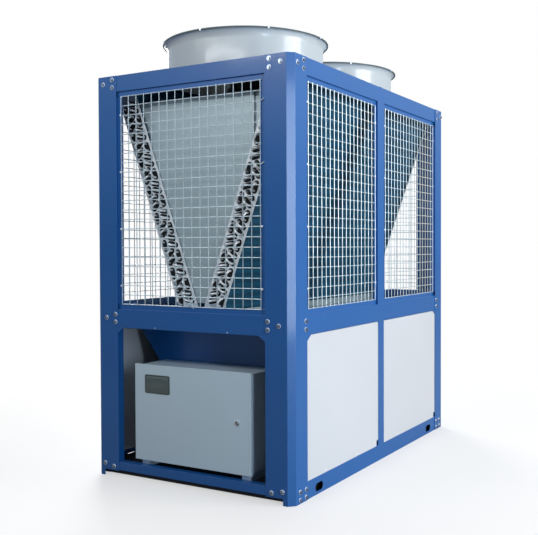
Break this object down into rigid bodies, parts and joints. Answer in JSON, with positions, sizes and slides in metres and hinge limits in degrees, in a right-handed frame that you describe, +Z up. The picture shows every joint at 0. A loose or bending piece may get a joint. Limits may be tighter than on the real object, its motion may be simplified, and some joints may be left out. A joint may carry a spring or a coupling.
{
  "type": "modular air source heat pump",
  "caption": "Folded steel cabinet with upright axial fans on top, a V of finned coils behind wire guards, and a panelled machine bay with a hinged electrical box.",
  "frame": {"origin": "centre of the footprint on the floor", "axes": "+X to the right seen from the front, +Y to the rear along the length, +Z up"},
  "size_m": [1.21, 2.075, 2.328],
  "materials": {
    "blue_enamel": "semi-gloss powder coat",
    "white_panel_enamel": "semi-matt powder coat",
    "galvanised_wire": "zinc-plated welded wire",
    "shroud_enamel": "light grey powder coat",
    "fan_guard_enamel": "light grey coated wire",
    "impeller_aluminium": "cast and blasted",
    "motor_enamel": "black enamel",
    "coated_fins": "blue-green hydrophilic coating",
    "galvanised_sheet": "galvanised, dull",
    "box_enamel": "light grey powder coat",
    "display_cover": "smoked clear plastic",
    "lock_chrome": "chromed zinc"
  },
  "bodies": {
    "cabinet": {"base_pan": "blue_enamel", "base_rail_left": "blue_enamel", "base_rail_right": "blue_enamel", "bottom_beam_front": "blue_enamel", "bottom_beam_rear": "blue_enamel", "coil_end_sheet_front": "galvanised_sheet", "coil_end_sheet_rear": "galvanised_sheet", "coil_left": "coated_fins", "coil_right": "coated_fins", "corner_post_front_left": "blue_enamel", "corner_post_front_right": "blue_enamel", "corner_post_rear_left": "blue_enamel", "corner_post_rear_right": "blue_enamel", "drain_deck": "galvanised_sheet", "electrical_box_body": "box_enamel", "fan_guard_front": "fan_guard_enamel", "fan_guard_rear": "fan_guard_enamel", "fan_impeller_front": "impeller_aluminium", "fan_impeller_rear": "impeller_aluminium", "fan_motor_front": "motor_enamel", "fan_motor_rear": "motor_enamel", "fan_shroud_front": "shroud_enamel", "fan_shroud_rear": "shroud_enamel", "front_bulkhead": "blue_enamel", "guard_front": "galvanised_wire", "guard_left_front": "galvanised_wire", "guard_left_rear": "galvanised_wire", "guard_rear": "galvanised_wire", "guard_right_front": "galvanised_wire", "guard_right_rear": "galvanised_wire", "mid_beam_front": "blue_enamel", "mid_beam_left": "blue_enamel", "mid_beam_rear": "blue_enamel", "mid_beam_right": "blue_enamel", "mid_post_left": "blue_enamel", "mid_post_right": "blue_enamel", "panel_left_front": "white_panel_enamel", "panel_left_rear": "white_panel_enamel", "panel_rear": "white_panel_enamel", "panel_right_front": "white_panel_enamel", "panel_right_rear": "white_panel_enamel", "top_beam_front": "blue_enamel", "top_beam_left": "blue_enamel", "top_beam_rear": "blue_enamel", "top_beam_right": "blue_enamel", "top_deck": "blue_enamel"},
    "door": {"electrical_box_door": "box_enamel", "electrical_box_window": "display_cover", "electrical_box_lock": "lock_chrome"}
  },
  "joints": [
    {"name": "electrical_box_door_hinge", "type": "hinge", "parent": "cabinet", "child": "door", "pos_m": [-0.351, -1.0045, 0.357], "axis": [0, 0, -1], "range_deg": [0, 120]}
  ]
}
